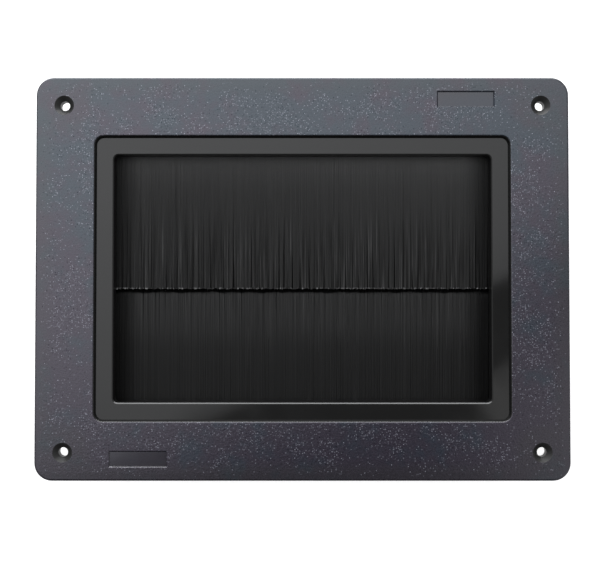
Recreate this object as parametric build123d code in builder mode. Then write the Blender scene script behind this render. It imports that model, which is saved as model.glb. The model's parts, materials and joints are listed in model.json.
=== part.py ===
from build123d import *
import os
import random

# Brush cable grommet for a raised floor tile. Millimetres throughout.
# X runs along the long side, Y across it and Z up, out of the floor.
# The origin is the centre of the plane where the flange bears on the floor.

# Window that the cables pass through
window_length = 200.4
window_width = 131.4
window_corner_radius = 2.6
window_edge_chamfer = 0.55

# Smooth bezel, sunk below the flange, and the skirt under its inner edge
bezel_width = 9.7
bezel_thickness = 2.6
skirt_depth = 4.0
skirt_wall = 2.2
recess_depth = 2.4
recess_draft = 20.0
recess_corner_radius = 4.8
recess_edge_round = 1.0

# Grained flange that lies on the floor
flange_band = 31.1
flange_height = 6.0
flange_thickness = 3.0
flange_corner_radius = 9.5
flange_edge_round = 1.3
rim_wall = 2.4
rib_thickness = 1.6
rib_lift = 0.6
rib_pitch = 38.0

# Four countersunk holes for the floor screws
hole_inset = 15.0
hole_radius = 2.5
countersink_radius = 5.1
countersink_angle = 100.0
hole_boss_radius = 6.2

# Two shallow bare label plates with sloping sides, one near each of two opposite corners
label_length = 30.6
label_width = 8.8
label_depth = 0.8
label_draft = 40.0
label_from_end = 39.3
label_from_side = 7.2

# Collar that drops into the cut-out of the tile
collar_wall = 2.5
collar_depth = 24.0
collar_draft = 0.8
collar_corner_radius = 7.0
collar_foot_chamfer = 0.8

# Strip brush: a folded steel channel grips bristles doubled over a wire
channel_setback = 1.6
channel_depth = 8.0
channel_height = 5.0
channel_wall = 0.8
channel_bend_radius = 1.2
channel_overhang = 2.5
crimp_pitch = 18.0
crimp_width = 1.6
crimp_depth = 0.3
wire_radius = 0.8
wire_clearance = 0.02
fold_clearance = 0.05

# Bristles, trimmed to length and clumped near their tips
brush_overlap = 11.4
tuft_pitch = 4.4
tuft_groove = 0.5
tuft_crest_spread = 0.25
trim_spread = 0.5
slit_share = 0.75
slit_width = 0.42
shortest_slit = 8.0
longest_slit = 46.0
layer_gap = 0.6

# Fences that close the two short sides of the brush pocket
fence_wall = 2.0
fence_clearance = 0.3

# Screw bosses in the pocket, and the screws in them
boss_radius = 3.1
boss_clearance = 0.3
boss_web = 2.2
boss_pitch = 186.0
pilot_radius = 1.25
pilot_skin = 1.6
screw_length = 8.6
screw_radius = 1.2
head_radius = 2.8
head_top_radius = 2.1
head_height = 1.9
drive_size = 2.9
drive_slot = 0.6
drive_depth = 1.1

# Rear retainer, a moulded ring that clamps both brushes from below
retainer_thickness = 2.6
retainer_clearance = 0.3
retainer_inset = 0.5
retainer_hole_radius = 1.7
retainer_edge = 1.4
guard_wall = 2.2
guard_height = 4.4
guard_chamfer = 0.7
gusset_thickness = 1.6
gusset_length = 6.0
gusset_pitch = 48.0
clamp_rib_thickness = 2.0
clamp_rib_pitch = 28.0

# Sizes that follow from the ones above
recess_length = window_length + 2 * bezel_width
recess_width = window_width + 2 * bezel_width
flange_length = recess_length + 2 * flange_band
flange_width = recess_width + 2 * flange_band
flange_underside = flange_height - flange_thickness
bezel_top = flange_height - recess_depth
bezel_underside = bezel_top - bezel_thickness
skirt_foot = bezel_underside - skirt_depth
boss_setback = head_radius + retainer_edge + retainer_clearance
pocket_margin = channel_setback + channel_depth + boss_clearance + boss_radius + boss_setback
pocket_length = window_length + 2 * pocket_margin
pocket_width = window_width + 2 * pocket_margin
collar_length = pocket_length + 2 * collar_wall
collar_width = pocket_width + 2 * collar_wall
pocket_corner_radius = collar_corner_radius - collar_wall
channel_length = window_length + 2 * channel_overhang
channel_mouth = window_width / 2 + channel_setback
channel_back = channel_mouth + channel_depth
bristle_thickness = channel_height - 2 * channel_wall
level_step = bristle_thickness + layer_gap
upper_level = skirt_foot - channel_height / 2
lower_level = upper_level - level_step
clamp_plane = lower_level - channel_height / 2
screw_seat = clamp_plane - retainer_thickness
trim_length = channel_back + brush_overlap / 2
boss_row_y = pocket_width / 2 - boss_setback
hole_x = flange_length / 2 - hole_inset
hole_y = flange_width / 2 - hole_inset
label_x = flange_length / 2 - label_from_end - label_length / 2
label_y = flange_width / 2 - label_from_side - label_width / 2


def evenly(pitch, span):
    """Places along a line, centred on it and at most span apart from end to end."""
    gaps = max(1, int(span // pitch))
    return [pitch * (i - gaps / 2) for i in range(gaps + 1)]


boss_columns = evenly(boss_pitch, pocket_length - 2 * boss_radius - pocket_corner_radius)
boss_places = [(x, side * boss_row_y) for x in boss_columns for side in (-1, 1)]

# Faceplate, one moulding: flange, sunken bezel, collar and everything under it
with BuildPart() as faceplate:
    # Flange block with its softened top edge
    with BuildSketch(Plane.XY):
        RectangleRounded(flange_length, flange_width, flange_corner_radius)
    extrude(amount=flange_height)
    fillet(faceplate.faces().sort_by(Axis.Z)[-1].edges(), flange_edge_round)

    # Hollow underside, which leaves the rim that stands on the floor
    with BuildSketch(Plane.XY):
        RectangleRounded(
            flange_length - 2 * rim_wall,
            flange_width - 2 * rim_wall,
            flange_corner_radius - rim_wall,
        )
    extrude(amount=flange_underside, mode=Mode.SUBTRACT)

    # Ribs under the flange, from the rim to the collar
    with BuildSketch(Plane.XY.offset(rib_lift)):
        for x in evenly(rib_pitch, collar_length - 2 * collar_corner_radius):
            with Locations((x, 0)):
                Rectangle(rib_thickness, flange_width - rim_wall)
        for y in evenly(rib_pitch, collar_width - 2 * collar_corner_radius):
            with Locations((0, y)):
                Rectangle(flange_length - rim_wall, rib_thickness)
    extrude(amount=flange_underside - rib_lift)

    # Bosses round the floor screws
    with BuildSketch(Plane.XY):
        with GridLocations(2 * hole_x, 2 * hole_y, 2, 2):
            Circle(hole_boss_radius)
    extrude(amount=flange_underside)

    # Collar, drafted outside and straight inside
    with BuildSketch(Plane.XY.offset(flange_underside)):
        RectangleRounded(collar_length, collar_width, collar_corner_radius)
    extrude(amount=-(flange_underside + collar_depth), taper=collar_draft)
    chamfer(faceplate.faces().sort_by(Axis.Z)[0].outer_wire().edges(), collar_foot_chamfer)
    with BuildSketch(Plane.XY.offset(flange_underside)):
        RectangleRounded(pocket_length, pocket_width, pocket_corner_radius)
    extrude(amount=-(flange_underside + collar_depth), mode=Mode.SUBTRACT)

    # Thick step where the flange drops to the bezel
    with BuildSketch(Plane.XY.offset(bezel_underside)):
        RectangleRounded(
            recess_length + bezel_thickness,
            recess_width + bezel_thickness,
            recess_corner_radius + bezel_thickness / 2,
        )
    extrude(amount=flange_underside - bezel_underside)

    # Skirt round the window
    with BuildSketch(Plane.XY.offset(bezel_underside)):
        RectangleRounded(
            window_length + 2 * skirt_wall,
            window_width + 2 * skirt_wall,
            window_corner_radius + skirt_wall,
        )
    extrude(amount=-skirt_depth)

    # Seat ribs, which set the lower brush one layer below the upper one
    for side, drop in ((1, 0), (-1, level_step)):
        with BuildSketch(Plane.XY.offset(bezel_underside)):
            for x in evenly(clamp_rib_pitch, channel_length - clamp_rib_thickness):
                with Locations((x, side * (channel_mouth + channel_back) / 2)):
                    Rectangle(clamp_rib_thickness, channel_depth)
        extrude(amount=-(skirt_depth + drop))

    # Fences at the ends of both brushes
    with BuildSketch(Plane.XY.offset(bezel_underside)):
        fence_x = channel_length / 2 + fence_clearance + fence_wall / 2
        with GridLocations(2 * fence_x, 0, 2, 1):
            Rectangle(fence_wall, 2 * channel_back)
    extrude(amount=clamp_plane - bezel_underside)

    # Bosses for the retainer's screws, each tied to the collar wall by a web
    with BuildSketch(Plane.XY.offset(flange_underside)):
        with Locations(*boss_places):
            Circle(boss_radius)
        for x in boss_columns:
            with GridLocations(0, 2 * boss_row_y + boss_setback, 1, 2):
                with Locations((x, 0)):
                    Rectangle(boss_web, boss_setback + collar_wall)
    extrude(amount=clamp_plane - flange_underside)
    with BuildSketch(Plane.XY.offset(clamp_plane)):
        with Locations(*boss_places):
            Circle(pilot_radius)
    extrude(amount=flange_underside - pilot_skin - clamp_plane, mode=Mode.SUBTRACT)

    # Recess with drafted sides, then the window through the bezel
    with BuildSketch(Plane.XY.offset(flange_height)):
        RectangleRounded(recess_length, recess_width, recess_corner_radius)
    extrude(amount=-recess_depth, taper=recess_draft, mode=Mode.SUBTRACT)
    with BuildSketch(Plane.XY.offset(bezel_top)):
        RectangleRounded(window_length, window_width, window_corner_radius)
    extrude(amount=-(bezel_thickness + skirt_depth), mode=Mode.SUBTRACT)

    # Softened edges of the recess and of the window
    flange_face = faceplate.faces().filter_by(Axis.Z).sort_by(Axis.Z)[-1]
    fillet(flange_face.inner_wires()[0].edges(), recess_edge_round)
    bezel_face = faceplate.faces().filter_by(Axis.Z).filter_by_position(
        Axis.Z, bezel_top - 0.01, bezel_top + 0.01
    )[0]
    chamfer(bezel_face.inner_wires()[0].edges(), window_edge_chamfer)

    # Countersunk floor screw holes
    with Locations(Plane.XY.offset(flange_height)):
        with GridLocations(2 * hole_x, 2 * hole_y, 2, 2):
            CounterSinkHole(
                radius=hole_radius,
                counter_sink_radius=countersink_radius,
                counter_sink_angle=countersink_angle,
                depth=flange_height,
            )

    # Bare label plates
    with BuildSketch(Plane.XY.offset(flange_height)):
        with Locations((label_x, label_y), (-label_x, -label_y)):
            Rectangle(label_length, label_width)
    extrude(amount=-label_depth, taper=label_draft, mode=Mode.SUBTRACT)

faceplate.part.label = "faceplate"

# Rear retainer, one moulding
with BuildPart() as retainer:
    outer_length = pocket_length - 2 * retainer_clearance
    outer_width = pocket_width - 2 * retainer_clearance
    outer_radius = pocket_corner_radius - retainer_clearance
    opening_length = window_length + 2 * retainer_inset
    opening_width = window_width + 2 * retainer_inset
    opening_radius = window_corner_radius + retainer_inset

    # Flat ring
    with BuildSketch(Plane.XY.offset(clamp_plane)):
        RectangleRounded(outer_length, outer_width, outer_radius)
    extrude(amount=-retainer_thickness)

    # Guard round the cables
    with BuildSketch(Plane.XY.offset(clamp_plane - retainer_thickness)):
        RectangleRounded(
            opening_length + 2 * guard_wall,
            opening_width + 2 * guard_wall,
            opening_radius + guard_wall,
        )
    extrude(amount=-guard_height)

    # Ribs that press on the upper brush's channel
    with BuildSketch(Plane.XY.offset(clamp_plane)):
        for x in evenly(clamp_rib_pitch, channel_length - clamp_rib_thickness):
            with Locations((x, (channel_mouth + channel_back) / 2)):
                Rectangle(clamp_rib_thickness, channel_depth)
    extrude(amount=level_step)

    # Opening, with its lower edges rounded for the cables
    with BuildSketch(Plane.XY.offset(clamp_plane)):
        RectangleRounded(opening_length, opening_width, opening_radius)
    extrude(amount=-(retainer_thickness + guard_height), mode=Mode.SUBTRACT)
    chamfer(retainer.faces().sort_by(Axis.Z)[0].edges(), guard_chamfer)

    # Gussets that stiffen the guard
    gusset_root = opening_width / 2 + guard_wall
    with BuildSketch(Plane.YZ):
        for side in (-1, 1):
            with BuildLine():
                Polyline(
                    (side * (gusset_root - guard_wall / 2), screw_seat),
                    (side * (gusset_root + gusset_length), screw_seat),
                    (side * gusset_root, screw_seat - gusset_length / 2),
                    (side * (gusset_root - guard_wall / 2), screw_seat - gusset_length / 2),
                    close=True,
                )
            make_face()
    gusset = extrude(amount=gusset_thickness / 2, both=True, mode=Mode.PRIVATE)
    for x in evenly(gusset_pitch, opening_length - 2 * opening_radius):
        with Locations((x, 0)):
            add(gusset)

    # Screw holes
    with BuildSketch(Plane.XY.offset(clamp_plane)):
        with Locations(*boss_places):
            Circle(retainer_hole_radius)
    extrude(amount=-retainer_thickness, mode=Mode.SUBTRACT)

retainer.part.label = "rear_retainer"


def brush_channel():
    """Folded channel along X, its back at Y 0 and its mouth towards -Y."""
    with BuildPart() as channel:
        with BuildSketch(Plane.YZ):
            with Locations((-channel_depth / 2, 0)):
                Rectangle(channel_depth, channel_height)
        extrude(amount=channel_length / 2, both=True)
        back_edges = channel.edges().filter_by(Axis.X).group_by(Axis.Y)[-1]
        fillet(back_edges, channel_bend_radius)
        with BuildSketch(Plane.YZ):
            with Locations((-(channel_depth + channel_wall) / 2, 0)):
                Rectangle(channel_depth - channel_wall, bristle_thickness)
        extrude(amount=channel_length / 2, both=True, mode=Mode.SUBTRACT)
        # Crimps pressed across both legs
        with BuildSketch(Plane.XZ.offset(channel_depth / 4)):
            for x in evenly(crimp_pitch, channel_length - crimp_pitch):
                for side in (-1, 1):
                    face = side * channel_height / 2
                    with BuildLine():
                        Polyline(
                            (x - crimp_width / 2, face),
                            (x, face - side * crimp_depth),
                            (x + crimp_width / 2, face),
                            close=True,
                        )
                    make_face()
        extrude(amount=channel_depth / 2, mode=Mode.SUBTRACT)
    return channel.part


def brush_wire():
    """Core wire along X, which the bristles are doubled over."""
    with BuildPart() as wire:
        with BuildSketch(Plane.YZ):
            with Locations((-(channel_wall + bristle_thickness / 2), 0)):
                Circle(wire_radius)
        extrude(amount=channel_length / 2, both=True)
    return wire.part


def brush_bristles(seed):
    """Curtain of bristles: tufts side by side along X, hanging towards -Y from the wire."""
    chance = random.Random(seed)
    count = round(channel_length / tuft_pitch)
    pitch = channel_length / count
    left = -channel_length / 2
    crest = bristle_thickness / 2 - fold_clearance
    fold_centre = -(channel_wall + bristle_thickness / 2)

    # Outline across the tufts: flat crests of uneven height with grooves between
    top = [(left, crest - tuft_groove)]
    bottom = [(left, tuft_groove - crest)]
    for tuft in range(count):
        start = left + tuft * pitch
        for side, line in ((1, top), (-1, bottom)):
            height = side * (crest - chance.uniform(0, tuft_crest_spread))
            valley = side * (crest - tuft_groove)
            line.append((start + 0.2 * pitch, height))
            line.append((start + 0.8 * pitch, height))
            line.append((start + pitch, valley))

    # Outline seen from above: trimmed tips, with slits where the tufts part
    tips = []
    for tuft in range(count):
        start = left + tuft * pitch
        tip = -trim_length + chance.uniform(0, trim_spread)
        open_left = tuft > 0 and tips[-1][0] < start
        tips.append((start + (slit_width / 2 if open_left else 0), tip))
        if tuft < count - 1 and chance.random() < slit_share:
            root = -trim_length + chance.uniform(shortest_slit, longest_slit)
            tips.append((start + pitch - slit_width / 2, tip))
            tips.append((start + pitch, root))
        else:
            tips.append((start + pitch, tip))

    with BuildPart() as bristles:
        with BuildSketch(Plane.XZ.offset(channel_depth)):
            with BuildLine():
                Polyline(*top, *reversed(bottom), close=True)
            make_face()
        extrude(amount=trim_length - channel_depth)
        with BuildSketch(Plane.XY.offset(-crest)):
            with BuildLine():
                Polyline((left, -channel_depth), *tips, (-left, -channel_depth), close=True)
            make_face()
        extrude(amount=2 * crest, mode=Mode.INTERSECT)
        # Root in the channel, pressed flat and folded round the wire
        with BuildSketch(Plane.YZ):
            with BuildLine():
                fold = ThreePointArc(
                    (fold_centre, crest), (fold_centre + crest, 0), (fold_centre, -crest)
                )
                Polyline(fold @ 1, (-channel_depth, -crest), (-channel_depth, crest), fold @ 0)
            make_face()
            with Locations((fold_centre, 0)):
                Circle(wire_radius + wire_clearance, mode=Mode.SUBTRACT)
        extrude(amount=channel_length / 2, both=True)
    return bristles.part


def pan_screw():
    """Pan head screw for plastic, with its seat at Z 0 and its blunt end up."""
    with BuildPart() as screw:
        with BuildSketch(Plane.XZ):
            with BuildLine():
                Polyline(
                    (0, -head_height),
                    (head_top_radius, -head_height),
                    (head_radius, 0),
                    (screw_radius, 0),
                    (screw_radius, screw_length),
                    (0, screw_length),
                    close=True,
                )
            make_face()
        revolve(axis=Axis.Z)
        with BuildSketch(Plane.XY.offset(-head_height)):
            Rectangle(drive_size, drive_slot)
            Rectangle(drive_slot, drive_size)
        extrude(amount=drive_depth, mode=Mode.SUBTRACT)
    return screw.part


os.makedirs("parts", exist_ok=True)
export_step(faceplate.part, "parts/faceplate.step")
export_step(retainer.part, "parts/rear_retainer.step")

# The lower brush is the upper one turned half round and set one layer down
strip_places = {
    "upper": Location((0, channel_back, upper_level)),
    "lower": Location((0, -channel_back, lower_level), (0, 0, 180)),
}
for seed, (row, place) in enumerate(strip_places.items()):
    strip = {
        "channel": brush_channel(),
        "wire": brush_wire(),
        "bristles": brush_bristles(seed),
    }
    for piece, shape in strip.items():
        placed = shape.moved(place)
        placed.label = f"{row}_brush_{piece}"
        export_step(placed, f"parts/{placed.label}.step")

one_screw = pan_screw()
screws = Compound([one_screw.moved(Location((x, y, screw_seat))) for x, y in boss_places])
screws.label = "retainer_screws"
export_step(screws, "parts/retainer_screws.step")
print("overall", flange_length, "x", flange_width, "x", flange_height + collar_depth)
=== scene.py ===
import json
import math

import bpy
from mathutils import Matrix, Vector


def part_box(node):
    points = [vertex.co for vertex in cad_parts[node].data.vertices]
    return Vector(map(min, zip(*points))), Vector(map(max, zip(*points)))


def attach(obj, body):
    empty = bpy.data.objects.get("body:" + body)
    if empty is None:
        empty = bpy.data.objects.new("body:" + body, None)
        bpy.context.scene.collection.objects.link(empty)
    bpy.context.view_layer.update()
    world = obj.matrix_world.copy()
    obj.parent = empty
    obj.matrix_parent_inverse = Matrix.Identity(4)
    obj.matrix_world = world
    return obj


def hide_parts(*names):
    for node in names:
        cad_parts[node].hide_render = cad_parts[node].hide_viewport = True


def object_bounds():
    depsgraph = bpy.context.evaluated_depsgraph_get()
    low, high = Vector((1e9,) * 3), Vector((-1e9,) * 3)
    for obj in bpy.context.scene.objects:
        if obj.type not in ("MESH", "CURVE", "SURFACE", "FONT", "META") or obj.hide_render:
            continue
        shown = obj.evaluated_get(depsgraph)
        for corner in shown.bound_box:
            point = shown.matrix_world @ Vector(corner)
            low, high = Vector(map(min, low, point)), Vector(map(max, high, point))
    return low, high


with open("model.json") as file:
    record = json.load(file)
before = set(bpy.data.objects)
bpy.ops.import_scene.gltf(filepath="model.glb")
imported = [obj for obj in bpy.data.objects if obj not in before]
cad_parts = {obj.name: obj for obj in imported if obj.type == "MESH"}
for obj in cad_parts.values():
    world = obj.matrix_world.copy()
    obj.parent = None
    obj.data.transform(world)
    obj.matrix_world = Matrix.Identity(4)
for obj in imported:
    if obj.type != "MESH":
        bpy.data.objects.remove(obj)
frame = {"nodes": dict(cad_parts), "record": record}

mm = 0.001
cadBox = [list(corner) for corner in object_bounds()]
nodes = frame["nodes"]
print("frame loaded:", len(nodes), "nodes")


# Helpers for node trees

def isSocket(value):
    return isinstance(value, bpy.types.NodeSocket)


def connect(tree, value, socket):
    if isSocket(value):
        tree.links.new(value, socket)
    else:
        socket.default_value = value


def addNode(tree, kind, inputs=None, **settings):
    node = tree.nodes.new(kind)
    for name, value in settings.items():
        setattr(node, name, value)
    for name, value in (inputs or {}).items():
        connect(tree, value, node.inputs[name])
    return node


def calc(tree, operation, *values):
    node = tree.nodes.new("ShaderNodeMath")
    node.operation = operation
    for index, value in enumerate(values):
        connect(tree, value, node.inputs[index])
    return node.outputs[0]


def chain(tree, operation, values):
    result = values[0]
    for value in values[1:]:
        result = calc(tree, operation, result, value)
    return result


def plus(tree, *values):
    return chain(tree, "ADD", values)


def minus(tree, first, second):
    return calc(tree, "SUBTRACT", first, second)


def times(tree, *values):
    return chain(tree, "MULTIPLY", values)


def highest(tree, *values):
    return chain(tree, "MAXIMUM", values)


def absolute(tree, value):
    return calc(tree, "ABSOLUTE", value)


def without(tree, mask):
    return minus(tree, 1.0, mask)


def ramp(tree, value, low, high, start=0.0, end=1.0, smooth=True):
    node = addNode(tree, "ShaderNodeMapRange", {
        "Value": value,
        "From Min": low,
        "From Max": high,
        "To Min": start,
        "To Max": end,
    })
    if smooth:
        node.interpolation_type = "SMOOTHSTEP"
    return node.outputs["Result"]


def contrast(tree, value, start=0.0, end=1.0, smooth=True):
    # Noise keeps to its middle, so its 0.3 to 0.7 becomes the whole range
    return ramp(tree, value, 0.3, 0.7, start, end, smooth)


def srgb(red, green, blue):
    def linear(channel):
        c = channel / 255
        return c / 12.92 if c <= 0.04045 else ((c + 0.055) / 1.055) ** 2.4
    return (linear(red), linear(green), linear(blue), 1.0)


def grey(level):
    return srgb(level, level, level)


def newMaterial(name):
    material = bpy.data.materials.new(name)
    material.use_nodes = True
    tree = material.node_tree
    tree.nodes.clear()
    output = addNode(tree, "ShaderNodeOutputMaterial")
    shader = addNode(tree, "ShaderNodeBsdfPrincipled")
    tree.links.new(shader.outputs[0], output.inputs["Surface"])
    return material, tree, shader


def mix(tree, kind, factor, first, second):
    node = addNode(tree, "ShaderNodeMix", data_type=kind)
    for name, value in (("Factor", factor), ("A", first), ("B", second)):
        connect(tree, value, [s for s in node.inputs if s.name == name and s.enabled][0])
    return [s for s in node.outputs if s.enabled][0]


def mixColour(tree, factor, first, second):
    return mix(tree, "RGBA", factor, first, second)


def objectCoords(tree):
    return addNode(tree, "ShaderNodeTexCoord").outputs["Object"]


def splitXYZ(tree, vector):
    parts = addNode(tree, "ShaderNodeSeparateXYZ", {"Vector": vector}).outputs
    return parts["X"], parts["Y"], parts["Z"]


def noise(tree, coords, size, detail=2.0, roughness=0.5):
    node = addNode(tree, "ShaderNodeTexNoise", {
        "Vector": coords,
        "Scale": 1 / size,
        "Detail": detail,
        "Roughness": roughness,
    })
    return node.outputs["Fac"]


def stretched(tree, coords, stretch):
    return addNode(tree, "ShaderNodeMapping", {"Vector": coords, "Scale": stretch}).outputs["Vector"]


def addBump(tree, shader, height, depth):
    bump = addNode(tree, "ShaderNodeBump", {"Height": height, "Distance": depth, "Strength": 1.0})
    tree.links.new(bump.outputs["Normal"], shader.inputs["Normal"])


def giveMaterial(nodeName, material):
    for slot in nodes[nodeName].material_slots:
        slot.material = material


# Faceplate: grained flange, smooth satin bezel and label plates

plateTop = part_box("faceplate")[1]
holeSpacing = frame["record"]["mounts"][0]["dims"]

plate = {
    "top": plateTop.z,
    "flangeHalf": (plateTop.x, plateTop.y),
    "holeCentre": (holeSpacing["spacing_x_mm"] / 2 * mm, holeSpacing["spacing_y_mm"] / 2 * mm),
    "holeRadius": 5.15 * mm,
    "flangeBand": 28.0 * mm,     # from the rim to the rounded edge of the recess
    "recessDepth": 2.4 * mm,
    "collarTop": 0.1 * mm,
    "labelSize": (30.6 * mm, 8.8 * mm),
    "labelFromRim": (39.3 * mm, 7.2 * mm),
    "labelSlope": 0.3 * mm,
    "plainEdge": 3.2 * mm,       # the grain stops this far from the rim
    "quietEdge": 8.0 * mm,       # and is sparse about this far from it
    "quietHole": (8.0 * mm, 20.0 * mm),
    "sideDepth": 1.1 * mm,       # the rim's plain outer side begins this far down
}

# How softly each mask ends. Pairs are depths below the top, or heights off the bezel
maskEdge = {
    "hair": 0.1 * mm,
    "recess": 0.3 * mm,
    "recessDepths": (0.2 * mm, 0.06 * mm),
    "offBezel": (0.06 * mm, 0.2 * mm),
    "topDepths": (0.35 * mm, 0.1 * mm),
    "collar": 0.4 * mm,
    "side": 0.5 * mm,
    "sideRim": 0.8 * mm,
    "grainRim": 1.6 * mm,
    "quietRim": 6.4 * mm,
}

grain = {
    "cellSize": 1.1 * mm,
    "fineSize": 0.9 * mm,
    "depth": 0.06 * mm,
    "patchSize": 13.0 * mm,
    "patchEdges": (0.38, 0.64),
    "patchLeast": 0.12,
    "quietLeast": 0.35,
    "speckSpacing": 0.88 * mm,   # a speck's width is a share of this, and a pit's of its own
    "speckWidth": 0.38,
    "speckShare": 0.75,
    "pitSpacing": 1.056 * mm,
    "pitWidth": 0.42,
    "pitShare": 0.6,
    "pitShift": (0.31, 0.17, 0.0),
    "pitDarkness": 0.8,
    "dotCore": 0.4,
    "dotLeast": 0.4,
    "fineShare": 0.8,
}

plateFinish = {
    "flange": srgb(21, 30, 46),
    "flangeTint": srgb(31, 25, 40),
    "quiet": grey(31),
    "quietAmount": 0.5,
    # Specks are a painted glint on the grain, and pits a painted shade beside them
    "paintedGlint": srgb(158, 160, 172),
    "paintedPitShade": srgb(9, 9, 12),
    "bezel": srgb(26, 26, 26),
    "hole": grey(38),
    # The rim's outer side is darker than the flange, a painted shade
    "side": grey(12),
    "hueSize": 20.0 * mm,
    "hueAcross": (0.5, 0.9),     # the tint grows along |x| and towards the near side
    "hueEdges": (0.36, 0.64),
    "sheen": (0.7, 0.87, 1.0, 1.0),
    # This tint reflects a little less, so it is partly a painted shade towards the sides and the near side
    "sheenTint": (0.83, 0.745, 0.95, 1.0),
    "labelSheen": (0.76, 0.79, 0.86, 1.0),
    "white": (1.0, 1.0, 1.0, 1.0),
    "specular": 0.6,
    "coatIor": 1.55,
    "coatRoughness": 0.26,
    "flangeRoughness": (0.33, 0.21),
    "bezelRoughness": (0.065, 0.125),
    "holeRoughness": 0.42,
    "wallRoughness": 0.24,
    "sideRoughness": 0.55,
    "collarRoughness": (0.3, 0.39),
    "finishSize": 22.0 * mm,
}


def insideBox(tree, x, y, centre, half, soft):
    awayX = minus(tree, absolute(tree, minus(tree, x, centre[0])), half[0])
    awayY = minus(tree, absolute(tree, minus(tree, y, centre[1])), half[1])
    return ramp(tree, highest(tree, awayX, awayY), -soft, soft, 1.0, 0.0)


def insideRim(tree, x, y, margin, soft):
    half = [length - margin for length in plate["flangeHalf"]]
    return insideBox(tree, x, y, (0, 0), half, soft)


def labelMask(tree, x, y):
    sizes = zip(plate["flangeHalf"], plate["labelFromRim"], plate["labelSize"])
    labelX, labelY = [rim - margin - length / 2 for rim, margin, length in sizes]
    half = [length / 2 - plate["labelSlope"] for length in plate["labelSize"]]
    centres = ((labelX, labelY), (-labelX, -labelY))
    return highest(tree, *[insideBox(tree, x, y, centre, half, maskEdge["hair"]) for centre in centres])


def nearestHole(tree, x, y):
    fromX = minus(tree, absolute(tree, x), plate["holeCentre"][0])
    fromY = minus(tree, absolute(tree, y), plate["holeCentre"][1])
    return calc(tree, "SQRT", plus(tree, calc(tree, "POWER", fromX, 2.0), calc(tree, "POWER", fromY, 2.0)))


def faceplateMasks(tree, x, y, z):
    top, hair, holeRadius = plate["top"], maskEdge["hair"], plate["holeRadius"]
    fromHole = nearestHole(tree, x, y)
    labels = labelMask(tree, x, y)
    holes = ramp(tree, fromHole, holeRadius - hair, holeRadius + hair, 1.0, 0.0)

    # The recess with its rounded edge, and what slopes or curves in it
    recessDepths = [top - depth for depth in maskEdge["recessDepths"]]
    recess = insideRim(tree, x, y, plate["flangeBand"], maskEdge["recess"])
    recess = times(tree, recess, ramp(tree, z, *recessDepths, 1.0, 0.0))
    offBezel = absolute(tree, minus(tree, z, top - plate["recessDepth"]))
    wall = times(tree, recess, ramp(tree, offBezel, *maskEdge["offBezel"]))

    # The collar below the flange, and the rim's outer side
    collar = ramp(tree, z, plate["collarTop"] - maskEdge["collar"], plate["collarTop"], 1.0, 0.0)
    sideTop = top - plate["sideDepth"]
    side = without(tree, insideRim(tree, x, y, plate["plainEdge"], maskEdge["sideRim"]))
    side = times(tree, side, ramp(tree, z, sideTop - maskEdge["side"], sideTop, 1.0, 0.0))
    side = times(tree, side, without(tree, collar))

    # The grain is on top alone, stops before the rim, and is sparse near rim and holes
    onTop = ramp(tree, z, *[top - depth for depth in maskEdge["topDepths"]])
    grained = times(tree, onTop, without(tree, highest(tree, recess, labels, holes)))
    speckled = times(tree, grained, insideRim(tree, x, y, plate["plainEdge"], maskEdge["grainRim"]))
    busy = insideRim(tree, x, y, plate["quietEdge"], maskEdge["quietRim"])
    busy = times(tree, busy, ramp(tree, fromHole, *plate["quietHole"]))
    return {
        "labels": labels,
        "holes": holes,
        "recess": recess,
        "wall": wall,
        "collar": collar,
        "side": side,
        "grained": grained,
        "speckled": speckled,
        "busy": busy,
        "bare": highest(tree, collar, side, recess, holes),
    }


def dots(tree, coords, spacing, width, share):
    cell = addNode(tree, "ShaderNodeTexVoronoi", {"Vector": coords, "Scale": 1 / spacing})
    chance = addNode(tree, "ShaderNodeSeparateColor", {"Color": cell.outputs["Color"]}).outputs
    chosen = calc(tree, "LESS_THAN", chance["Red"], share)
    soft = ramp(tree, cell.outputs["Distance"], width, width * grain["dotCore"])
    strength = ramp(tree, chance["Green"], 0.0, 1.0, grain["dotLeast"], 1.0)
    return times(tree, chosen, soft, strength)


def specksAndPits(tree, coords, masks):
    # Specks are a painted glint and pits a painted shade in the grain. Both gather in patches, and pits are
    # cells of their own
    patch = noise(tree, coords, grain["patchSize"], 3.0, 0.6)
    density = ramp(tree, patch, *grain["patchEdges"], grain["patchLeast"], 1.0)
    density = times(tree, density, ramp(tree, masks["busy"], 0.0, 1.0, grain["quietLeast"], 1.0))
    speckShare = times(tree, density, grain["speckShare"])
    glintSpecks = dots(tree, coords, grain["speckSpacing"], grain["speckWidth"], speckShare)
    shifted = addNode(tree, "ShaderNodeVectorMath", {0: coords, 1: grain["pitShift"]}).outputs[0]
    pitShare = times(tree, density, grain["pitShare"])
    shadedPits = dots(tree, shifted, grain["pitSpacing"], grain["pitWidth"], pitShare)
    return times(tree, glintSpecks, masks["speckled"]), times(tree, shadedPits, masks["speckled"])


def flangeHue(tree, coords, x, y):
    alongX, alongY = plateFinish["hueAcross"]
    drift = minus(tree, times(tree, absolute(tree, x), alongX), times(tree, y, alongY))
    drift = plus(tree, drift, noise(tree, coords, plateFinish["hueSize"], 4.0, 0.65))
    return ramp(tree, drift, *plateFinish["hueEdges"])


def faceplateColour(tree, masks, hue, glintSpecks, shadedPits):
    look = plateFinish
    quiet = ramp(tree, masks["busy"], 0.0, 1.0, look["quietAmount"], 0.0)
    colour = mixColour(tree, hue, look["flange"], look["flangeTint"])
    colour = mixColour(tree, quiet, colour, look["quiet"])
    # Painted glints and painted shade of the grain
    colour = mixColour(tree, glintSpecks, colour, look["paintedGlint"])
    colour = mixColour(tree, times(tree, shadedPits, grain["pitDarkness"]), colour, look["paintedPitShade"])
    # The rim's outer side takes its darker colour, a painted shade
    for mask, finish in (("recess", "bezel"), ("holes", "hole"), ("collar", "bezel"), ("side", "side")):
        colour = mixColour(tree, masks[mask], colour, look[finish])
    return colour


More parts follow.
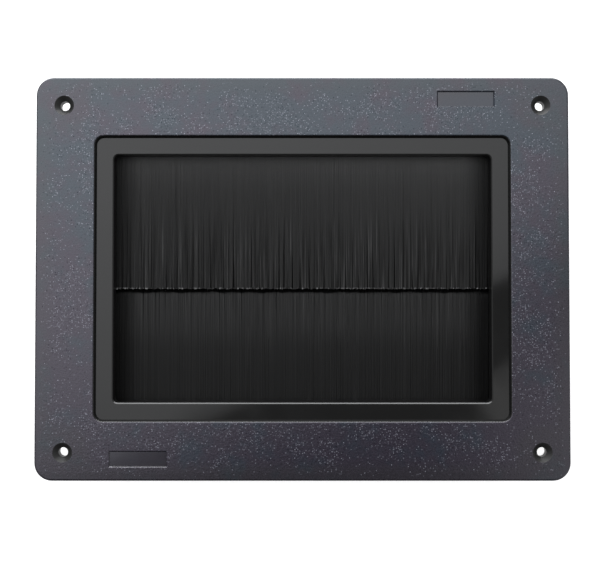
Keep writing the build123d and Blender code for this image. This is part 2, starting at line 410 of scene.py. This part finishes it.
def faceplateRoughness(tree, coords, masks, fine):
    look = plateFinish
    drift = noise(tree, coords, look["finishSize"], 3.0)
    bezel = contrast(tree, drift, *look["bezelRoughness"])
    flange = contrast(tree, fine, *look["flangeRoughness"])
    collar = contrast(tree, drift, *look["collarRoughness"])
    return highest(
        tree,
        mix(tree, "FLOAT", masks["grained"], bezel, flange),
        times(tree, masks["holes"], look["holeRoughness"]),
        times(tree, masks["collar"], collar),
        times(tree, masks["wall"], look["wallRoughness"]),
        times(tree, masks["side"], look["sideRoughness"]),
    )


def grainRelief(tree, coords, masks, fine):
    cells = addNode(tree, "ShaderNodeTexVoronoi", {
        "Vector": coords,
        "Scale": 1 / grain["cellSize"],
        "Smoothness": 0.6,
    }, feature="SMOOTH_F1").outputs["Distance"]
    return times(tree, plus(tree, cells, times(tree, fine, grain["fineShare"])), masks["speckled"])


def faceplateMaterial():
    look = plateFinish
    material, tree, shader = newMaterial("black_abs_grained")
    coords = objectCoords(tree)
    x, y, z = splitXYZ(tree, coords)
    masks = faceplateMasks(tree, x, y, z)
    glintSpecks, shadedPits = specksAndPits(tree, coords, masks)
    fine = noise(tree, coords, grain["fineSize"], 1.0)
    hue = flangeHue(tree, coords, x, y)
    colour = faceplateColour(tree, masks, hue, glintSpecks, shadedPits)
    tree.links.new(colour, shader.inputs["Base Color"])
    tree.links.new(faceplateRoughness(tree, coords, masks, fine), shader.inputs["Roughness"])
    addBump(tree, shader, grainRelief(tree, coords, masks, fine), grain["depth"])

    # The flange has a waxy sheen of a bluish black over its grain, which its pits lack
    waxy = times(tree, without(tree, masks["bare"]), without(tree, shadedPits))
    tree.links.new(waxy, shader.inputs["Coat Weight"])
    shader.inputs["Coat Roughness"].default_value = look["coatRoughness"]
    shader.inputs["Coat IOR"].default_value = look["coatIor"]
    shader.inputs["Specular IOR Level"].default_value = look["specular"]
    # Towards the sides and near side the weaker tint is partly a painted shade
    sheen = mixColour(tree, hue, look["sheen"], look["sheenTint"])
    sheen = mixColour(tree, masks["labels"], sheen, look["labelSheen"])
    sheen = mixColour(tree, masks["bare"], sheen, look["white"])
    tree.links.new(sheen, shader.inputs["Specular Tint"])
    return material


giveMaterial("faceplate", faceplateMaterial())


# Retainer: the same plastic with a plain moulded skin

retainer = {
    "colours": (grey(27), grey(34)),
    "roughness": (0.34, 0.46),
    "flowSize": 14.0 * mm,
    "skinSize": 0.7 * mm,
    "skinDepth": 0.015 * mm,
}


def retainerMaterial():
    material, tree, shader = newMaterial("black_abs_plain")
    coords = objectCoords(tree)
    flow = noise(tree, coords, retainer["flowSize"], 3.0)
    colour = mixColour(tree, contrast(tree, flow), *retainer["colours"])
    tree.links.new(colour, shader.inputs["Base Color"])
    tree.links.new(contrast(tree, flow, *retainer["roughness"]), shader.inputs["Roughness"])
    addBump(tree, shader, noise(tree, coords, retainer["skinSize"]), retainer["skinDepth"])
    return material


giveMaterial("rear_retainer", retainerMaterial())


# Steel parts: streaks run along the rolled strip and the drawn wire

steel = {
    "galvanised_strip": {"colour": srgb(176, 180, 184), "roughness": 0.36, "streak": (0.08, 1.0, 1.0)},
    "drawn_wire": {"colour": srgb(160, 163, 168), "roughness": 0.3, "streak": (0.05, 1.0, 1.0)},
    "zinc_plated_screw": {"colour": srgb(186, 190, 196), "roughness": 0.28, "streak": (1.0, 1.0, 1.0)},
}
steelTexture = {
    "lineSize": 0.6 * mm,
    "lineDepth": 0.01 * mm,
    "spangleSize": 3.5 * mm,
    "darker": 0.72,
    "roughnessSpread": (-0.07, 0.1),
}


def steelMaterial(name):
    look = steel[name]
    material, tree, shader = newMaterial(name)
    coords = objectCoords(tree)
    lines = noise(tree, stretched(tree, coords, look["streak"]), steelTexture["lineSize"], 3.0)
    spangle = noise(tree, coords, steelTexture["spangleSize"])
    dark = [channel * steelTexture["darker"] for channel in look["colour"][:3]] + [1.0]
    colour = mixColour(tree, contrast(tree, spangle), dark, look["colour"])
    rough = [look["roughness"] + change for change in steelTexture["roughnessSpread"]]
    tree.links.new(colour, shader.inputs["Base Color"])
    tree.links.new(contrast(tree, lines, *rough), shader.inputs["Roughness"])
    addBump(tree, shader, lines, steelTexture["lineDepth"])
    shader.inputs["Metallic"].default_value = 1.0
    return material


channelSteel = steelMaterial("galvanised_strip")
wireSteel = steelMaterial("drawn_wire")
for row in ("upper", "lower"):
    giveMaterial(f"{row}_brush_channel", channelSteel)
    giveMaterial(f"{row}_brush_wire", wireSteel)
giveMaterial("retainer_screws", steelMaterial("zinc_plated_screw"))
print("moulded and steel finishes done")


# Bristles: nylon filaments, clumped towards their tips

bristle = {
    "radius": 0.16 * mm,
    "jitter": 0.06 * mm,
    "clump": 2.4 * mm,           # tips gather in clumps, and clumps in wider locks
    "lock": 7.0 * mm,
    "lockPull": 0.05,
    "squeeze": 0.25,
    "fill": 0.8,                 # share of the brush's thickness that straight filaments fill
    "tilt": 0.16,
    "strayShare": 0.035,
    "strayReach": 1.5 * mm,
    "strayRise": 0.1,
    "trim": 0.8 * mm,
    "inset": 0.999,
    "layers": 5.0,
    "deepBelow": -0.2,           # filaments under this height get a painted shade where the tips part
    "goldenShare": 0.618034,     # spreads neighbours evenly through the thickness
}

# How the clumps form. Starts and shares run along a filament, from 0 to 1
clumping = {
    "start": 0.55,
    "startSpread": 0.4,
    "evenness": 0.6,
    "lowLayers": (-2.0, -1.0),
    "lowLayerShare": 0.1,
    "layerShift": 0.173,
    "seedShift": 1.37,
    "lockShift": 0.31,
    "waveScale": 90.0,
    "waveShare": 0.7,
    "cutShare": 0.3,
}

bristleFinish = {
    "streakSize": 1.0 * mm,
    "streakStretch": (1.0, 0.015, 0.015),
    "acrossOnly": (1.0, 0.0, 0.0),
    "startSize": 1.6 * mm,
    "startSpread": 0.2,
    "growth": (0.4, 0.88),
    "rootShare": 0.04,
    "lightEdges": (0.52, 0.64),
    "shadeEdges": (0.2, 0.8),
    "darkEdges": (0.48, 0.4),
    "lightAmount": 0.8,
    "darkAmount": 0.75,
    "endFade": 16.0 * mm,
    "nearEnd": 0.8,
    "halfLength": 100.2 * mm,
    "wanderSize": 9.0 * mm,
    "wander": 0.006,
    "pressSoft": (0.006, 0.004),
    "cutEdges": (0.985, 0.995),
    "glintShare": (0.7, 0.95),
    # The streak colour is a painted highlight and the shade colour a painted shade
    "streak": grey(104),
    "paintedShade": grey(4),
    # A painted glint on some cut ends
    "paintedTipGlint": grey(190),
    "roughness": (0.5, 0.36),
    "specular": 0.3,
}

# Each filament has a point at each stop, as shares of its length. The lower row
# dips where the upper row's tips press on it. Tones are grey levels along the row,
# a painted light that is brightest towards the far side.
brushRows = {
    "upper": {
        "seed": 3,
        "count": 9400,
        "stops": (0.0, 0.4, 0.75, 1.0),
        "dipStart": 0.84,
        "dipEnd": 0.87,
        "dip": 0.0,
        "pull": 0.36,
        "contrast": 1.0,
        "paintedLightTones": (
            (0.1, 112), (0.14, 102), (0.18, 86), (0.23, 76),
            (0.32, 69), (0.45, 62), (0.6, 56), (0.9, 49),
        ),
        "farEnd": 0.8,
        "covered": 0.0,
    },
    "lower": {
        "seed": 11,
        "count": 6200,
        "stops": (0.0, 0.45, 0.8, 0.838, 0.87, 1.0),
        "dipStart": 0.838,
        "dipEnd": 0.87,
        "dip": 0.75,
        "pull": 0.2,
        "contrast": 0.45,
        "paintedLightTones": (
            (0.2, 44), (0.3, 44), (0.45, 48), (0.52, 53),
            (0.6, 61), (0.7, 68), (0.8, 71),
        ),
        "farEnd": 0.95,
        "covered": 1.0,
    },
}


def toneRamp(tree, place, paintedLightTones):
    node = addNode(tree, "ShaderNodeValToRGB", {"Fac": place})
    stops = node.color_ramp.elements
    while len(stops) < len(paintedLightTones):
        stops.new(0.5)
    for stop, (position, level) in zip(stops, paintedLightTones):
        stop.position = position
        stop.color = grey(level)
    return node.outputs["Color"]


def attribute(tree, name):
    return addNode(tree, "ShaderNodeAttribute", attribute_name=name).outputs["Fac"]


def streaked(tree, base, row, coords, along, shade):
    # Lighter and darker streaks, a painted highlight and shade of the clumps, which grow towards the tips
    look = bristleFinish
    strength = brushRows[row]["contrast"]
    spread = look["startSpread"]
    streak = noise(tree, stretched(tree, coords, look["streakStretch"]), look["streakSize"], 3.0, 0.6)
    starts = noise(tree, stretched(tree, coords, look["acrossOnly"]), look["startSize"])
    late = minus(tree, along, contrast(tree, starts, -spread, spread, smooth=False))
    growth = ramp(tree, late, *look["growth"], look["rootShare"] * strength, strength)
    light = times(tree, ramp(tree, streak, *look["lightEdges"]), growth)
    light = times(tree, light, ramp(tree, shade, *look["shadeEdges"]))
    dark = times(tree, ramp(tree, streak, *look["darkEdges"]), growth)
    base = mixColour(tree, times(tree, light, look["lightAmount"]), base, look["streak"])
    base = mixColour(tree, times(tree, dark, look["darkAmount"]), base, look["paintedShade"])
    # Low filaments get a painted shade where the tips part
    return mixColour(tree, times(tree, attribute(tree, "deep"), growth), base, look["paintedShade"])


def shadedEnds(tree, base, row, coords, x, along, shade):
    # The ends and the length under the other row get a painted shade, and some cut ends a painted glint
    look = bristleFinish
    rowLook = brushRows[row]
    fade = (look["halfLength"] - look["endFade"], look["halfLength"])
    nearEnd = ramp(tree, times(tree, x, -1.0), *fade, 0.0, look["nearEnd"])
    farEnd = ramp(tree, x, *fade, 0.0, rowLook["farEnd"])
    # Painted shade towards the ends, under the window walls
    base = mixColour(tree, highest(tree, nearEnd, farEnd), base, look["paintedShade"])
    waver = noise(tree, stretched(tree, coords, look["acrossOnly"]), look["wanderSize"])
    edge = plus(tree, along, contrast(tree, waver, -look["wander"], look["wander"]))
    start = rowLook["dipStart"]
    before, after = look["pressSoft"]
    # Painted shade where the other row covers this one
    covered = ramp(tree, edge, start - before, start + after, 0.0, rowLook["covered"])
    base = mixColour(tree, covered, base, look["paintedShade"])
    # A painted glint on some cut ends
    tipGlint = times(tree, ramp(tree, along, *look["cutEdges"]), ramp(tree, shade, *look["glintShare"]))
    return mixColour(tree, tipGlint, base, look["paintedTipGlint"])


def bristleMaterial(row, rootY, tipY):
    material, tree, shader = newMaterial(f"{row}_nylon_bristle")
    coords = objectCoords(tree)
    x, y = splitXYZ(tree, coords)[:2]
    along = ramp(tree, y, rootY, tipY, smooth=False)
    shade = attribute(tree, "shade")
    # The grey levels along the row are a painted light, brightest towards the far side
    base = toneRamp(tree, along, brushRows[row]["paintedLightTones"])
    base = streaked(tree, base, row, coords, along, shade)
    base = shadedEnds(tree, base, row, coords, x, along, shade)
    tree.links.new(base, shader.inputs["Base Color"])
    tree.links.new(ramp(tree, shade, 0.0, 1.0, *bristleFinish["roughness"]), shader.inputs["Roughness"])
    shader.inputs["Specular IOR Level"].default_value = bristleFinish["specular"]
    return material


treeInputs = {
    "NodeSocketFloat": (
        "Length", "Trim", "Thickness", "Radius", "Clump", "Lock", "Pull", "Stray share", "Ragged",
        "Dip", "Dip start", "Dip end",
    ),
    "NodeSocketInt": ("Count", "Seed"),
}


def newBristleTree(name):
    tree = bpy.data.node_groups.new(name, "GeometryNodeTree")
    tree.interface.new_socket("Geometry", in_out="OUTPUT", socket_type="NodeSocketGeometry")
    for kind, labels in treeInputs.items():
        for label in labels:
            tree.interface.new_socket(label, in_out="INPUT", socket_type=kind)
    return tree, tree.nodes.new("NodeGroupInput").outputs


def filamentRoots(tree, given):
    index = tree.nodes.new("GeometryNodeInputIndex").outputs[0]

    def chance(low, high, offset):
        node = addNode(tree, "FunctionNodeRandomValue", data_type="FLOAT")
        floats = [s for s in node.inputs if s.enabled]
        for socket, value in zip(floats, (low, high, index, plus(tree, given["Seed"], offset))):
            connect(tree, value, socket)
        return [s for s in node.outputs if s.enabled][0]

    # One point per filament, spread along the strip and through its thickness
    place = calc(tree, "DIVIDE", plus(tree, index, chance(0.0, 1.0, 1)), given["Count"])
    rootX = times(tree, minus(tree, place, 0.5), given["Length"])
    rootX = plus(tree, rootX, chance(-bristle["jitter"], bristle["jitter"], 2))
    rootX = times(tree, rootX, bristle["inset"])
    layer = minus(tree, calc(tree, "FRACT", times(tree, index, bristle["goldenShare"])), 0.5)
    stray = calc(tree, "LESS_THAN", chance(0.0, 1.0, 3), given["Stray share"])
    fields = {
        "rootX": rootX,
        "layer": layer,
        "lean": times(tree, stray, chance(-1.0, 1.0, 4)),
        "stray": stray,
        "shade": chance(0.0, 1.0, 5),
        "deep": calc(tree, "LESS_THAN", layer, bristle["deepBelow"]),
        "cut": chance(0.0, 1.0, 6),
    }
    roots = addNode(tree, "GeometryNodePoints", {"Count": given["Count"]}).outputs[0]
    for label, value in fields.items():
        inputs = {"Geometry": roots, "Name": label, "Value": value}
        store = addNode(tree, "GeometryNodeStoreNamedAttribute", inputs, data_type="FLOAT", domain="POINT")
        roots = store.outputs[0]
    return roots


def straightFilaments(tree, roots, stops):
    line = addNode(tree, "GeometryNodeCurvePrimitiveLine", {"End": (0, -1, 0)}).outputs[0]
    line = addNode(tree, "GeometryNodeResampleCurve", {"Curve": line, "Count": len(stops)}).outputs[0]
    copies = addNode(tree, "GeometryNodeInstanceOnPoints", {"Points": roots, "Instance": line}).outputs[0]
    return addNode(tree, "GeometryNodeRealizeInstances", {"Geometry": copies}).outputs[0]


def field(tree, label):
    node = addNode(tree, "GeometryNodeInputNamedAttribute", {"Name": label}, data_type="FLOAT")
    return [s for s in node.outputs if s.enabled][0]


def placesAlong(tree, stops):
    fraction = tree.nodes.new("GeometryNodeSplineParameter").outputs["Factor"]
    parts = len(stops) - 1
    steps = [ramp(tree, fraction, index / parts, (index + 1) / parts, 0.0, far - near, smooth=False)
             for index, (near, far) in enumerate(zip(stops, stops[1:]))]
    return plus(tree, *steps)


def gather(tree, x, width, shift):
    cell = addNode(tree, "ShaderNodeTexVoronoi", {
        "W": plus(tree, x, shift),
        "Scale": calc(tree, "DIVIDE", 1.0, width),
        "Randomness": 1.0,
    }, voronoi_dimensions="1D")
    parts = addNode(tree, "FunctionNodeSeparateColor", {"Color": cell.outputs["Color"]}).outputs
    return minus(tree, cell.outputs["W"], shift), parts[0], parts[1]


def bentPlaces(tree, given, stops):
    x = field(tree, "rootX")
    layer = field(tree, "layer")
    along = placesAlong(tree, stops)

    # Each layer shares its clumps with its neighbours, and the low ones clump little
    group = calc(tree, "FLOOR", times(tree, layer, bristle["layers"]))
    lower = calc(tree, "MINIMUM", plus(tree, group, 1.0), 0.0)
    lower = times(tree, lower, clumping["layerShift"])
    shift = plus(tree, times(tree, given["Seed"], clumping["seedShift"]), lower)
    centre, force, rise = gather(tree, x, given["Clump"], shift)
    lockShift = plus(tree, shift, clumping["lockShift"])
    lockCentre, lockForce = gather(tree, x, given["Lock"], lockShift)[:2]
    start = times(tree, minus(tree, rise, 0.5), clumping["startSpread"])
    late = ramp(tree, plus(tree, along, start), clumping["start"], 1.0)
    loose = ramp(tree, group, *clumping["lowLayers"], clumping["lowLayerShare"], 1.0, smooth=False)
    late = times(tree, late, loose)
    pull = times(tree, calc(tree, "POWER", force, clumping["evenness"]), given["Pull"], late)
    lockPull = times(tree, lockForce, bristle["lockPull"], late)
    strayX = times(tree, field(tree, "lean"), bristle["strayReach"], calc(tree, "POWER", along, 2.0))
    moved = plus(tree, x, times(tree, minus(tree, centre, x), pull))
    lockX = times(tree, minus(tree, lockCentre, x), lockPull)
    newX = plus(tree, moved, plus(tree, lockX, strayX))

    # Heights run from -0.5 to 0.5 of the free thickness, and dip under the other row
    squeeze = without(tree, times(tree, pull, bristle["squeeze"]))
    height = times(tree, layer, times(tree, squeeze, bristle["fill"]))
    height = plus(tree, height, times(tree, minus(tree, rise, 0.5), times(tree, late, bristle["tilt"])))
    height = plus(tree, height, times(tree, field(tree, "stray"), along, bristle["strayRise"]))
    height = highest(tree, calc(tree, "MINIMUM", height, 0.5), -0.5)
    dipped = ramp(tree, along, given["Dip start"], given["Dip end"])
    height = times(tree, plus(tree, height, 0.5), without(tree, times(tree, dipped, given["Dip"])))
    free = minus(tree, given["Thickness"], times(tree, given["Radius"], 2.0))
    newZ = times(tree, minus(tree, height, 0.5), free)

    # The cut is ragged, in waves along the row and from one filament to the next
    wave = addNode(tree, "ShaderNodeTexNoise", {
        "W": times(tree, plus(tree, x, shift), clumping["waveScale"]),
        "Detail": 2.0,
    }, noise_dimensions="1D").outputs["Fac"]
    wave = contrast(tree, wave, 0.0, clumping["waveShare"])
    short = plus(tree, times(tree, field(tree, "cut"), clumping["cutShare"]), wave)
    reach = minus(tree, given["Trim"], times(tree, short, given["Ragged"]))
    newY = times(tree, reach, along, -1.0)
    return addNode(tree, "ShaderNodeCombineXYZ", {"X": newX, "Y": newY, "Z": newZ}).outputs[0]


def bristleTree(name, stops, material):
    tree, given = newBristleTree(name)
    lines = straightFilaments(tree, filamentRoots(tree, given), stops)
    places = bentPlaces(tree, given, stops)
    bent = addNode(tree, "GeometryNodeSetPosition", {"Geometry": lines, "Position": places}).outputs[0]
    circle = {"Resolution": 3, "Radius": given["Radius"]}
    section = addNode(tree, "GeometryNodeCurvePrimitiveCircle", circle).outputs[0]
    sweep = {"Curve": bent, "Profile Curve": section, "Fill Caps": True}
    tube = addNode(tree, "GeometryNodeCurveToMesh", sweep).outputs[0]
    tube = addNode(tree, "GeometryNodeSetShadeSmooth", {"Geometry": tube}).outputs[0]
    final = addNode(tree, "GeometryNodeRealizeInstances", {"Geometry": tube}).outputs[0]
    painted = addNode(tree, "GeometryNodeSetMaterial", {"Geometry": final, "Material": material}).outputs[0]
    tree.links.new(painted, tree.nodes.new("NodeGroupOutput").inputs["Geometry"])
    return tree


def setInput(modifier, name, value):
    for item in modifier.node_group.interface.items_tree:
        if item.name == name and item.in_out == "INPUT":
            modifier[item.identifier] = value


def plainMesh(holder, name):
    graph = bpy.context.evaluated_depsgraph_get()
    mesh = bpy.data.meshes.new_from_object(holder.evaluated_get(graph), depsgraph=graph)
    mesh.name = name
    piece = bpy.data.objects.new(name, mesh)
    bpy.context.scene.collection.objects.link(piece)
    bpy.data.objects.remove(holder)
    return piece


def buildBristles(row):
    look = brushRows[row]
    low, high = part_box(f"{row}_brush_bristles")
    side = 1 if row == "upper" else -1
    rootY, tipY = (high.y, low.y) if side > 0 else (low.y, high.y)
    tree = bristleTree(f"{row}_bristle_tree", look["stops"], bristleMaterial(row, rootY, tipY))
    holder = bpy.data.objects.new("holder", bpy.data.meshes.new("holder"))
    bpy.context.scene.collection.objects.link(holder)
    modifier = holder.modifiers.new("bristles", "NODES")
    modifier.node_group = tree
    settings = {
        "Length": high.x - low.x - 2 * bristle["radius"],
        "Trim": abs(tipY - rootY),
        "Thickness": high.z - low.z,
        "Radius": bristle["radius"],
        "Clump": bristle["clump"],
        "Lock": bristle["lock"],
        "Pull": look["pull"],
        "Stray share": bristle["strayShare"],
        "Ragged": bristle["trim"],
        "Dip": look["dip"],
        "Dip start": look["dipStart"],
        "Dip end": look["dipEnd"],
        "Count": look["count"],
        "Seed": look["seed"],
    }
    for name, value in settings.items():
        setInput(modifier, name, value)
    piece = plainMesh(holder, f"{row}_filaments")
    for vertex in piece.data.vertices:
        vertex.co.x *= side
        vertex.co.y = rootY + vertex.co.y * side
        vertex.co.z += (low.z + high.z) / 2
    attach(piece, "root")
    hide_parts(f"{row}_brush_bristles")
    print(row, "filaments:", len(piece.data.polygons), "faces")


for row in brushRows:
    buildBristles(row)


# Floor, light and camera

floor = {
    "size": 6.0,
    "height": cadBox[0][2],
    "lift": 0.8,
    "roughness": 0.9,
    "colour": (0.9, 0.9, 0.9, 1.0),
}


def buildFloor():
    half = floor["size"] / 2
    mesh = bpy.data.meshes.new("studio_floor")
    corners = [(-half, -half), (half, -half), (half, half), (-half, half)]
    mesh.from_pydata([(x, y, floor["height"]) for x, y in corners], [], [(0, 1, 2, 3)])
    piece = bpy.data.objects.new("studio_floor", mesh)
    bpy.context.scene.collection.objects.link(piece)
    material, tree, shader = newMaterial("white_floor")
    shader.inputs["Base Color"].default_value = floor["colour"]
    shader.inputs["Roughness"].default_value = floor["roughness"]
    shader.inputs["Specular IOR Level"].default_value = 0.0
    path = addNode(tree, "ShaderNodeLightPath").outputs
    seen = highest(tree, path["Is Camera Ray"], path["Is Glossy Ray"], path["Is Transmission Ray"])
    shader.inputs["Emission Color"].default_value = (1, 1, 1, 1)
    tree.links.new(times(tree, seen, floor["lift"]), shader.inputs["Emission Strength"])
    mesh.materials.append(material)


# The room is lighter low down than overhead, and darkest on the near side
room = {"low": 0.5, "high": 0.12, "rise": (0.1, 0.5), "near": 0.35, "nearSide": (-0.9, -0.3)}


def buildWorld():
    world = bpy.data.worlds.new("studio")
    bpy.context.scene.world = world
    world.use_nodes = True
    tree = world.node_tree
    tree.nodes.clear()
    output = addNode(tree, "ShaderNodeOutputWorld")
    y, z = splitXYZ(tree, addNode(tree, "ShaderNodeTexCoord").outputs["Generated"])[1:]
    level = ramp(tree, z, *room["rise"], room["low"], room["high"])
    level = times(tree, level, ramp(tree, y, *room["nearSide"], room["near"], 1.0))
    background = addNode(tree, "ShaderNodeBackground", {"Color": (1, 1, 1, 1), "Strength": level})
    tree.links.new(background.outputs[0], output.inputs["Surface"])


# Places and sizes in metres, turns in degrees. The softbox is dimmed to fade at
# one edge, and reaches its full level at fadeEnd of its height.
lamps = {
    "overhead_softbox": {
        "place": (-0.245, 0.581, 1.0),
        "turn": (0, 0, 25),
        "size": (1.9, 1.5),
        "brightness": 2.03,
        "colour": (0.97, 0.98, 1.0),
        "fade": 0.41,
        "fadeEnd": 0.62,
    },
    "far_panel": {
        "place": (-0.1, 1.0, 0.17),
        "turn": (-90, 0, 0),
        "size": (1.6, 0.34),
        "brightness": 6.0,
        "colour": (0.97, 0.98, 1.0),
    },
    "near_fill": {
        "place": (0.8, -0.4, 1.0),
        "turn": (0, 0, 26.4),
        "size": (0.7, 0.9),
        "brightness": 0.6,
        "colour": (1.0, 1.0, 1.0),
    },
}


def fadeLamp(light, look):
    light.use_nodes = True
    tree = light.node_tree
    tree.nodes.clear()
    output = addNode(tree, "ShaderNodeOutputLight")
    height = splitXYZ(tree, addNode(tree, "ShaderNodeNewGeometry").outputs["Parametric"])[1]
    level = ramp(tree, height, 0.0, look["fadeEnd"], look["fade"], 1.0, smooth=False)
    emission = addNode(tree, "ShaderNodeEmission", {"Strength": level})
    tree.links.new(emission.outputs[0], output.inputs["Surface"])


def addLamp(name):
    look = lamps[name]
    width, height = look["size"]
    light = bpy.data.lights.new(name, "AREA")
    light.shape = "RECTANGLE"
    light.size = width
    light.size_y = height
    light.energy = look["brightness"] * math.pi * width * height
    light.color = look["colour"]
    if "fade" in look:
        fadeLamp(light, look)
    lamp = bpy.data.objects.new(name, light)
    lamp.location = look["place"]
    lamp.rotation_euler = [math.radians(angle) for angle in look["turn"]]
    bpy.context.scene.collection.objects.link(lamp)


view = {
    "distance": 450 * mm,
    "tilt": 1.25,
    "lens": 51.28,
    "aim": (-1.3 * mm, -2.5 * mm, 6.0 * mm),
    "nearest": 0.01,
}


def buildCamera():
    camera = bpy.data.cameras.new("camera")
    camera.lens = view["lens"]
    camera.clip_start = view["nearest"]
    piece = bpy.data.objects.new("camera", camera)
    tilt = math.radians(view["tilt"])
    piece.location = Vector(view["aim"]) + view["distance"] * Vector((0, -math.sin(tilt), math.cos(tilt)))
    piece.rotation_euler = (tilt, 0, 0)
    bpy.context.scene.collection.objects.link(piece)
    bpy.context.scene.camera = piece


buildFloor()
buildWorld()
for name in lamps:
    addLamp(name)
buildCamera()
bpy.context.scene.view_settings.view_transform = "Standard"
print("stage done")
